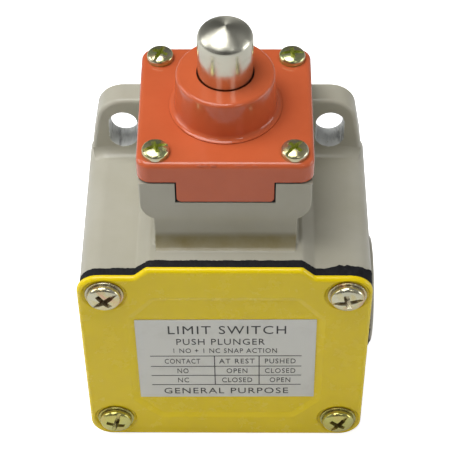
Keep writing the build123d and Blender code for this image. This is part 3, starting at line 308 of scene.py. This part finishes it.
def nickel_material():
    """Turned nickel plate: rings that fan the highlight out on the dome, faint bands on the shaft."""
    s = Shader("turned_nickel")
    x, y, z = s.axes()
    off_axis = s.math("SUBTRACT", y, PLUNGER_AXIS_Y)
    across = s.math("SQRT", s.math("ADD", s.math("POWER", x, 2), s.math("POWER", off_axis, 2)))
    on_dome = s.band(across, SHAFT_RADIUS * 0.99, SHAFT_RADIUS * 0.9)
    ring = s.math("SINE", s.math("MULTIPLY", across, 2 * math.pi / (0.3 * MM)))
    bands = s.math("SINE", s.math("MULTIPLY", z, 2 * math.pi / (0.21 * MM)))
    uneven = s.noise(500, 4, 0.7)
    turned = s.math("MULTIPLY", s.math("ADD", ring, s.math("MULTIPLY", bands, 0.3)), uneven)
    normal = s.bump(turned, 0.3, 0.012 * MM)
    normal = s.bump(s.noise(260, 2), 0.12, 0.08 * MM, normal)
    darkening = s.band(s.noise(180, 5, 0.7, warp=1.0), 0.56, 0.7)
    pits = s.math("MULTIPLY", s.specks(700, 0.1, 0.12), 0.5)
    color = s.mix(s.math("MULTIPLY", darkening, 0.3), srgb(216, 214, 198), srgb(162, 155, 128))
    color = s.mix(pits, color, srgb(96, 88, 70))
    rough = s.math("MULTIPLY_ADD", on_dome, 0.2, 0.12)
    around = s.node("ShaderNodeTangent", direction_type="RADIAL", axis="Z")
    return s.finish(
        Base_Color=color,
        Metallic=1.0,
        Roughness=s.math("MULTIPLY_ADD", uneven, 0.16, rough),
        Normal=normal,
        Anisotropic=s.math("MULTIPLY", on_dome, 0.75),
        Anisotropic_Rotation=0.25,
        Tangent=around.outputs["Tangent"],
    )


def metal_material(name, color, tarnish, rough, stretch=(1, 1, 1), scale=900):
    s = Shader(name)
    cloud = s.band(s.noise(160, 5, 0.7), 0.35, 0.75)
    grain = s.noise(scale, 4, 0.6, stretch=stretch)
    base = s.mix(s.math("MULTIPLY", cloud, 0.6), color, tarnish)
    # Painted shade with some dirt: ambient occlusion darkens corners and crevices towards near black.
    dirt_and_shade = s.band(s.crevice(0.8 * MM), 0.6, 0.2)
    base = s.mix(s.math("MULTIPLY", dirt_and_shade, 0.5), base, (0.03, 0.025, 0.02, 1))
    roughness = s.math("MULTIPLY_ADD", grain, 0.25, rough)
    normal = s.bump(grain, 0.2, 0.02 * MM)
    return s.finish(Base_Color=base, Metallic=1.0, Roughness=roughness, Normal=normal)


def rubber_material():
    s = Shader("black_rubber")
    dust = s.band(s.noise(700, 5, 0.75), 0.55, 0.8)
    color = s.mix(s.math("MULTIPLY", dust, 0.35), srgb(20, 21, 25), srgb(70, 70, 70))
    grain = s.noise(2400, 4, 0.7)
    normal = s.bump(grain, 0.5, 0.05 * MM)
    roughness = s.math("MULTIPLY_ADD", grain, 0.3, 0.6)
    return s.finish(Base_Color=color, Roughness=roughness, Normal=normal, Specular_IOR_Level=0.25)


def plastic_material(name, color, shade, rough, texture=1800):
    s = Shader(name)
    base = s.mix(s.band(s.noise(90, 4), 0.3, 0.75), color, shade)
    base = s.mix(s.math("MULTIPLY", s.specks(500, 0.06, 0.12), 0.5), base, (0.6, 0.6, 0.55, 1))
    grain = s.noise(texture, 3, 0.65)
    roughness = s.math("MULTIPLY_ADD", grain, 0.2, rough)
    normal = s.bump(grain, 0.25, 0.03 * MM)
    normal = s.bump(s.noise(130, 2), 0.1, 0.2 * MM, normal)
    return s.finish(Base_Color=base, Roughness=roughness, Normal=normal)


def foil_material():
    """Satin printed foil with a fine brushed grain and rubbed spots."""
    s = Shader("label_foil")
    grain = s.noise(2200, 3, 0.6, stretch=(0.06, 1, 1))
    rub = s.band(s.noise(140, 5, 0.7), 0.52, 0.75)
    color = s.mix(s.math("MULTIPLY", rub, 0.4), srgb(214, 214, 208), srgb(192, 190, 180))
    roughness = s.math("MULTIPLY_ADD", grain, 0.2, 0.3)
    normal = s.bump(grain, 0.15, 0.01 * MM)
    return s.finish(Base_Color=color, Metallic=0.35, Roughness=roughness, Normal=normal)


def ink_material():
    s = Shader("black_ink")
    faded = s.band(s.noise(1700, 4, 0.7), 0.5, 0.8)
    color = s.mix(s.math("MULTIPLY", faded, 0.5), srgb(26, 26, 28), srgb(105, 104, 100))
    return s.finish(Base_Color=color, Roughness=s.math("MULTIPLY_ADD", faded, 0.3, 0.4))


GOLD, GREEN, ROSE = srgb(216, 206, 158), srgb(196, 206, 150), srgb(222, 176, 152)
SILVER, OLIVE, RUST = srgb(214, 212, 190), srgb(156, 168, 20), srgb(96, 62, 28)
GREEN_FILM = srgb(196, 196, 84)
zinc_green = zinc_material("zinc_green_gold", GOLD, GREEN, SILVER, OLIVE)
# The third enamel colours give dark specks and the painted shade in corners.
yellow, deep_yellow, olive_dirt_and_shade = srgb(246, 217, 12), srgb(241, 211, 10), srgb(86, 70, 10)
orange, deep_orange, brown_dirt_and_shade = srgb(207, 101, 61), srgb(199, 94, 55), srgb(74, 22, 10)
cover_enamel = enamel("cover_enamel", yellow, deep_yellow, olive_dirt_and_shade, 0.22, 0.2, 260, 0.1)
head_enamel = enamel("head_enamel", orange, deep_orange, brown_dirt_and_shade, 0.14, 0.4, 330, 0.3)
finishes = {
    "housing_paint": housing_material(),
    "cover_paint": cover_enamel.material,
    "head_paint": head_enamel.material,
    "black_rubber": rubber_material(),
    "zinc_passivated": zinc_green,
    "nickel": nickel_material(),
    "label_foil": foil_material(),
    "bush_bronze": metal_material("bush_bronze", srgb(190, 150, 96), srgb(130, 92, 52), 0.25),
    "spring_steel": metal_material("spring_steel", srgb(176, 174, 170), srgb(120, 116, 110), 0.18),
    "block_plastic": plastic_material("block_plastic", srgb(36, 36, 38), srgb(28, 28, 30), 0.42),
    "block_cover_plastic": plastic_material(
        "block_cover_plastic", srgb(150, 44, 30), srgb(132, 36, 24), 0.36
    ),
    "stem_plastic": plastic_material("stem_plastic", srgb(228, 222, 206), srgb(214, 206, 186), 0.4),
    "terminal_brass": metal_material("terminal_brass", srgb(206, 176, 110), srgb(160, 124, 66), 0.22),
    "contact_silver": metal_material("contact_silver", srgb(214, 214, 212), srgb(150, 146, 140), 0.2),
    "plain_steel": metal_material("plain_steel", srgb(188, 190, 192), srgb(140, 140, 140), 0.22),
}
ink = ink_material()

zinc_rose = zinc_material("zinc_rose_gold", GOLD, SILVER, ROSE, RUST, middle("cover_screws").z)
own_finish = {"cover_screws": zinc_rose, "cover_screw_washers": zinc_rose}

for entry in frame["record"]["subparts"]:
    mesh = nodes[entry["node"]].data
    mesh.materials.clear()
    mesh.materials.append(own_finish.get(entry["node"], finishes[entry["material_slot"]]))


# ---------------------------------------------------------------- mesh pieces
def add_piece(name, shape, material, smooth=True):
    """Turns a bmesh into a piece of the housing's body."""
    bmesh.ops.recalc_face_normals(shape, faces=shape.faces)
    mesh = bpy.data.meshes.new(name)
    shape.to_mesh(mesh)
    shape.free()
    for face in mesh.polygons:
        face.use_smooth = smooth
    mesh.materials.append(material)
    piece = bpy.data.objects.new(name, mesh)
    scene.collection.objects.link(piece)
    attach(piece, "housing")
    return piece


def ring_of_sections(shape, sections):
    """Skins closed cross-sections, given as lists of points, into a closed ring."""
    loops = [[shape.verts.new(point) for point in section] for section in sections]
    for first, second in zip(loops, loops[1:] + loops[:1]):
        for i in range(len(first)):
            j = (i + 1) % len(first)
            shape.faces.new((first[i], first[j], second[j], second[i]))


def skin_rod(shape, sections):
    """Skins cross-sections into a rod with closed ends."""
    loops = [[shape.verts.new(point) for point in section] for section in sections]
    for first, second in zip(loops, loops[1:]):
        for i in range(len(first)):
            j = (i + 1) % len(first)
            shape.faces.new((first[i], first[j], second[j], second[i]))
    shape.faces.new(loops[0])
    shape.faces.new(loops[-1])


def rounded_outline(corners, step):
    """Points along a closed outline of (x, z, corner radius), evenly spread."""
    samples = []
    for i, (x, z, radius) in enumerate(corners):
        corner = Vector((x, z))
        before = (Vector(corners[i - 1][:2]) - corner).normalized()
        after = (Vector(corners[(i + 1) % len(corners)][:2]) - corner).normalized()
        half_angle = before.angle(after) / 2
        centre = corner + (before + after).normalized() * radius / math.sin(half_angle)
        reach = radius / math.tan(half_angle)
        start, end = corner + before * reach - centre, corner + after * reach - centre
        bends = max(2, round(radius * start.angle(end) / step))
        if samples:
            gap = centre + start - samples[-1]
            pieces = max(1, round(gap.length / step))
            samples += [samples[-1] + gap * k / pieces for k in range(1, pieces)]
        samples += [centre + start.slerp(end, k / bends) * radius for k in range(bends + 1)]
    gap = samples[0] - samples[-1]
    pieces = max(1, round(gap.length / step))
    return samples + [samples[-1] + gap * k / pieces for k in range(1, pieces)]


def fade(value, start, length):
    """0 up to start, 1 past start + length."""
    return min(max((value - start) / length, 0.0), 1.0)


RIDGE_TOP_HALF = 16.7 * MM  # half width of the raised middle of the gasket's upper edge
RIDGE_RISE = 2.7 * MM
RIDGE_BEND = 1.0 * MM
BODY_CORNER = 4.8 * MM
TORN_FROM = 21.5 * MM  # x where the torn patch on the upper right begins
SIDE_TORN = (33 * MM, 43 * MM)  # heights above the underside of the torn patch on the right side
EDGE_STEP = 0.22 * MM  # spacing of the edge's cross-sections


def gasket_edge():
    """The trimmed rubber edge that shows between cover and housing: rough, and torn at the top right."""
    low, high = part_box("cover_gasket")
    shoulder = high.z - RIDGE_RISE
    right = [
        (high.x, low.z, BODY_CORNER),
        (high.x, shoulder, BODY_CORNER),
        (RIDGE_TOP_HALF + RIDGE_RISE, shoulder, RIDGE_BEND),
        (RIDGE_TOP_HALF, high.z, RIDGE_BEND),
    ]
    outline = rounded_outline(right + [(-x, z, radius) for x, z, radius in reversed(right)], EDGE_STEP)
    rows = (0.04, 0.3, 0.6, 0.96)  # shares of the gasket's thickness, front to back
    sections = []
    for i, point in enumerate(outline):
        ahead = outline[(i + 1) % len(outline)] - outline[i - 1]
        outward = Vector((ahead.y, -ahead.x)).normalized()
        x, z = point
        top_tear = fade(x, TORN_FROM, 3 * MM) * fade(-x, -high.x - 0.1 * MM, 1.5 * MM)
        top_tear *= fade(z, shoulder - 4 * MM, 2 * MM)
        upper = fade(z, shoulder - 6 * MM, 4 * MM)
        rise = z - low.z
        side_tear = fade(x, high.x - MM, MM) * fade(rise, SIDE_TORN[0], MM)
        side_tear *= fade(-rise, -SIDE_TORN[1], MM)
        section = [(x - outward.x * MM, low.y + 0.1 * MM, z - outward.y * MM)]
        for row in rows:
            spot = Vector((x, z, row * 4 * MM))
            fine = noise.noise(spot / (0.55 * MM)) * 0.12 + noise.noise(spot / (2.4 * MM)) * 0.14
            jag = abs(noise.noise(spot / (1.3 * MM)))
            proud = 0.02 + 0.2 * row + fine * (0.4 + row) + top_tear * row * (0.75 + 0.9 * jag)
            proud = proud * upper - 0.15 * (1 - upper) + side_tear * (0.2 + 0.7 * jag)
            reach = max(proud, -0.1) * MM
            y = low.y + row * (high.y - low.y)
            section.append((x + outward.x * reach, y, z + outward.y * reach))
        section.append((x - outward.x * MM, high.y - 0.1 * MM, z - outward.y * MM))
        sections.append(section)
    shape = bmesh.new()
    ring_of_sections(shape, sections)
    add_piece("cover_gasket_edge", shape, finishes["black_rubber"], smooth=False)


THREAD_ROOT = 0.1 * MM  # how far the thread is sunk into the entry's wall
THREAD_PITCH = 1.5 * MM
THREAD_DEPTH = 0.35 * MM
THREAD_TURNS = 4.5
THREAD_STEPS = 72  # cross-sections per turn


def entry_thread():
    """Rounded helix of thread crests inside the cable entry."""
    centre = Vector(ENTRY["pos_m"])
    radius = ENTRY["dims"]["r_mm"] * MM
    mouth = centre.x - 0.9 * MM
    total = round(THREAD_TURNS * THREAD_STEPS)
    sections = []
    for i in range(total + 1):
        angle = 2 * math.pi * i / THREAD_STEPS
        crest = THREAD_DEPTH * min(1.0, i / 20 + 0.05, (total - i) / 20 + 0.05)
        section = []
        for shift, height in ((-0.42, 0), (-0.12, 1), (0.12, 1), (0.42, 0)):
            reach = radius + THREAD_ROOT - (crest + THREAD_ROOT) * height
            along = mouth - THREAD_PITCH * (i / THREAD_STEPS - shift)
            y, z = centre.y + reach * math.cos(angle), centre.z + reach * math.sin(angle)
            section.append((along, y, z))
        sections.append(section)
    shape = bmesh.new()
    skin_rod(shape, sections)
    add_piece("cable_entry_thread", shape, finishes["housing_paint"])


LABEL_TURN = math.radians(0.5)
LABEL_HEIGHT = 29.0  # millimetres, as are all places on the label
PRINT_RISE = 0.03 * MM
RULE_HALF = 0.11  # half width of the table's lines


def label_print():
    """Generic lettering and a ruled table on the label, as thin raised ink."""
    low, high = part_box("rating_label")
    centre = (low + high) / 2
    shape = bmesh.new()

    def place(points):
        """Label millimetres (right of the middle, down from the top) onto the foil."""
        turned = []
        for across, down, rise in points:
            u, v = across * MM, (LABEL_HEIGHT / 2 - down) * MM
            x = centre.x + u * math.cos(LABEL_TURN) - v * math.sin(LABEL_TURN)
            z = centre.z + u * math.sin(LABEL_TURN) + v * math.cos(LABEL_TURN)
            turned.append((x, low.y - rise, z))
        return turned

    def word(text, across, down, width, cap):
        """One line of capitals, centred at (across, down), fitted to a width and cap height."""
        curve = bpy.data.curves.new(text, "FONT")
        curve.body = text
        curve.extrude = 0.01
        curve.space_character = 1.15
        curve.resolution_u = 3
        holder = bpy.data.objects.new(text, curve)
        mesh = bpy.data.meshes.new_from_object(holder)
        xs = [v.co.x for v in mesh.vertices]
        ys = [v.co.y for v in mesh.vertices]
        stretch, lift = width / (max(xs) - min(xs)), cap / (max(ys) - min(ys))
        made = {}
        for v in mesh.vertices:
            u = across + (v.co.x - (max(xs) + min(xs)) / 2) * stretch
            d = down - (v.co.y - (max(ys) + min(ys)) / 2) * lift
            rise = PRINT_RISE if v.co.z > 0 else -PRINT_RISE
            made[v.index] = shape.verts.new(place([(u, d, rise)])[0])
        for face in mesh.polygons:
            corners = [made[i] for i in face.vertices]
            if shape.faces.get(corners) is None:
                shape.faces.new(corners)
        bpy.data.objects.remove(holder)
        bpy.data.curves.remove(curve)
        bpy.data.meshes.remove(mesh)

    def rule(x0, d0, x1, d1):
        """A printed line, level or upright, between two spots."""
        dx, dd = (RULE_HALF, 0) if x0 == x1 else (0, RULE_HALF)
        flat = [(x0 - dx, d0 - dd), (x1 + dx, d0 - dd), (x1 + dx, d1 + dd), (x0 - dx, d1 + dd)]
        bottom = [shape.verts.new(p) for p in place([(u, d, -PRINT_RISE) for u, d in flat])]
        top = [shape.verts.new(p) for p in place([(u, d, PRINT_RISE) for u, d in flat])]
        shape.faces.new(bottom)
        shape.faces.new(top)
        for k in range(4):
            j = (k + 1) % 4
            shape.faces.new((bottom[k], bottom[j], top[j], top[k]))

    word("LIMIT SWITCH", 0.3, 3.6, 26.5, 2.9)
    word("PUSH PLUNGER", -1.2, 7.9, 20.0, 2.2)
    word("1 NO + 1 NC SNAP ACTION", -0.2, 11.2, 23.5, 1.7)
    columns = (-17.4, -2.7, 7.5, 17.2)
    levels = (13.2, 17.1, 20.6, 24.2)
    for level in levels:
        rule(columns[0], level, columns[-1], level)
    for column in columns[1:3]:
        rule(column, levels[0], column, levels[-1])
    table = (("CONTACT", "AT REST", "PUSHED"), ("NO", "OPEN", "CLOSED"), ("NC", "CLOSED", "OPEN"))
    for row, texts in enumerate(table):
        down = (levels[row] + levels[row + 1]) / 2
        for column, text in enumerate(texts):
            across = (columns[column] + columns[column + 1]) / 2
            word(text, across, down, 1.12 * len(text) + 0.3, 1.8)
    word("GENERAL PURPOSE", -0.2, 26.6, 29.0, 2.2)
    add_piece("label_print", shape, ink, smooth=False)


# Beads of thick paint on the head's front rim: place across, length and girth, in millimetres.
PAINT_BEADS = ((-4.6, 2.6, 0.34), (-2.4, 1.5, 0.42), (3.0, 3.4, 0.2), (6.2, 1.6, 0.26))
RIM_INSET = 0.42 * MM  # of the beads' line behind and below the rim's corner


def paint_run():
    """Sags of thick paint along the head's front rim."""
    low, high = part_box("actuator_head")
    flange_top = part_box("head_screws")[1].z - HEAD_SCREW_RISE
    rim = Vector((0, low.y + RIM_INSET, flange_top - RIM_INSET))
    steps, sides = 14, 10
    shape = bmesh.new()
    for across, length, girth in PAINT_BEADS:
        sections = []
        for i in range(steps + 1):
            along = across + length * (i / steps - 0.5)
            swell = girth * math.sin(math.pi * (i + 0.5) / (steps + 1)) ** 0.6
            swell *= 1 + 0.35 * noise.noise(Vector((along * 1.7, girth * 9, 0)))
            drop = 0.25 * noise.noise(Vector((along * 0.9, 4, girth)))
            section = []
            for k in range(sides):
                turn = 2 * math.pi * k / sides
                reach = swell * (1.15 if math.sin(turn) < 0 else 0.8)
                y = rim.y - 0.1 * MM + reach * math.cos(turn) * 0.7 * MM
                section.append((along * MM, y, rim.z + (drop + reach * math.sin(turn)) * MM))
            sections.append(section)
        skin_rod(shape, sections)
    add_piece("head_paint_run", shape, finishes["head_paint"])


gasket_edge()
entry_thread()
label_print()
paint_run()


# ---------------------------------------------------------------- springs get meshes of their own
def shorten(node):
    """Gives a spring's node a mesh of its own."""
    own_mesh(nodes[node])


shorten("return_spring")
shorten("stem_return_spring")
shorten("contact_spring")

# ---------------------------------------------------------------- floor, light and camera
FLOOR_GLOW = 0.8  # keeps the card white to the viewer
FLOOR_REFLECTED = (0.8, 0.8, 0.8, 1)  # tone of the card that the switch reflects
FLOOR_GAP = 0.2 * MM  # between the card and the underside
WORLD_STRENGTH = 0.22


def floor_card():
    """White card under the switch. It glows to the viewer only, so that it lights nothing."""
    level = cad_box[0].z - FLOOR_GAP
    sheet = bmesh.new()
    for x, y in ((-1, -1), (1, -1), (1, 1), (-1, 1)):
        sheet.verts.new((x, y, level))
    sheet.faces.new(sheet.verts)
    mesh = bpy.data.meshes.new("floor")
    sheet.to_mesh(mesh)
    sheet.free()
    floor = bpy.data.objects.new("floor", mesh)
    scene.collection.objects.link(floor)
    s = Shader("floor_card")
    seen = s.node("ShaderNodeLightPath").outputs["Is Camera Ray"]
    tone = s.mix(s.band(s.noise(6, 3), 0.3, 0.7), (0.93, 0.93, 0.93, 1), (0.9, 0.9, 0.9, 1))
    s.finish(
        Base_Color=s.mix(seen, FLOOR_REFLECTED, tone),
        Roughness=0.9,
        Emission_Color=(1, 1, 1, 1),
        Emission_Strength=s.math("MULTIPLY", seen, FLOOR_GLOW),
    )
    mesh.materials.append(s.material)


def studio_world():
    """Pale surroundings: bright to the left and right, dim behind the viewer and above the far side."""
    world = bpy.data.worlds.new("studio")
    scene.world = world
    world.use_nodes = True
    tree = world.node_tree
    background = tree.nodes["Background"]
    background.inputs["Strength"].default_value = WORLD_STRENGTH
    split = tree.nodes.new("ShaderNodeSeparateXYZ")
    tree.links.new(tree.nodes.new("ShaderNodeTexCoord").outputs["Generated"], split.inputs[0])
    sideways = tree.nodes.new("ShaderNodeMath")
    sideways.operation = "ABSOLUTE"
    tree.links.new(split.outputs["X"], sideways.inputs[0])
    shade = tree.nodes.new("ShaderNodeValToRGB")
    for element, (place, tone) in zip(shade.color_ramp.elements, ((0.25, 0.28), (0.75, 1.0))):
        element.position = place
        element.color = (tone, tone, tone, 1)
    tree.links.new(sideways.outputs[0], shade.inputs[0])
    tree.links.new(shade.outputs["Color"], background.inputs["Color"])


def softbox(name, place, size, power, aim=(0, -20 * MM, 0)):
    light = bpy.data.lights.new(name, "AREA")
    light.shape = "RECTANGLE"
    light.size, light.size_y = size
    light.energy = power
    holder = bpy.data.objects.new(name, light)
    holder.location = place
    holder.rotation_euler = (Vector(aim) - Vector(place)).to_track_quat("-Z", "Y").to_euler()
    scene.collection.objects.link(holder)


floor_card()
studio_world()
softbox("overhead_light", (-0.18, -0.02, 0.70), (0.5, 0.5), 4.4)
softbox("left_light", (-0.65, 0.05, 0.30), (0.4, 0.4), 1.5)
softbox("right_light", (0.70, -0.05, 0.02), (0.4, 0.3), 1.1)
softbox("front_left_lamp", (-0.20, -0.42, 0.46), (0.13, 0.13), 0.22)
softbox("front_right_lamp", (0.24, -0.42, 0.44), (0.13, 0.13), 0.22)

# Camera at the viewing angle of a person looking down at the switch on a table.
PITCH, YAW, ROLL = (math.radians(angle) for angle in (48.33, 0.86, -0.55))
ahead = Vector((-math.sin(YAW) * math.cos(PITCH), math.cos(YAW) * math.cos(PITCH), -math.sin(PITCH)))
side = Vector((math.cos(YAW), math.sin(YAW), 0))
up = side.cross(ahead)
turned_side = side * math.cos(ROLL) + up * math.sin(ROLL)
turned_up = up * math.cos(ROLL) - side * math.sin(ROLL)
lens = bpy.data.cameras.new("camera")
lens.sensor_width = 36
lens.lens = 128.2
camera = bpy.data.objects.new("camera", lens)
axes = Matrix((turned_side, turned_up, -ahead)).transposed().to_4x4()
camera.matrix_world = Matrix.Translation(Vector((3.31, -264.77, 258.36)) * MM) @ axes
scene.collection.objects.link(camera)
scene.camera = camera
scene.view_settings.view_transform = "Standard"
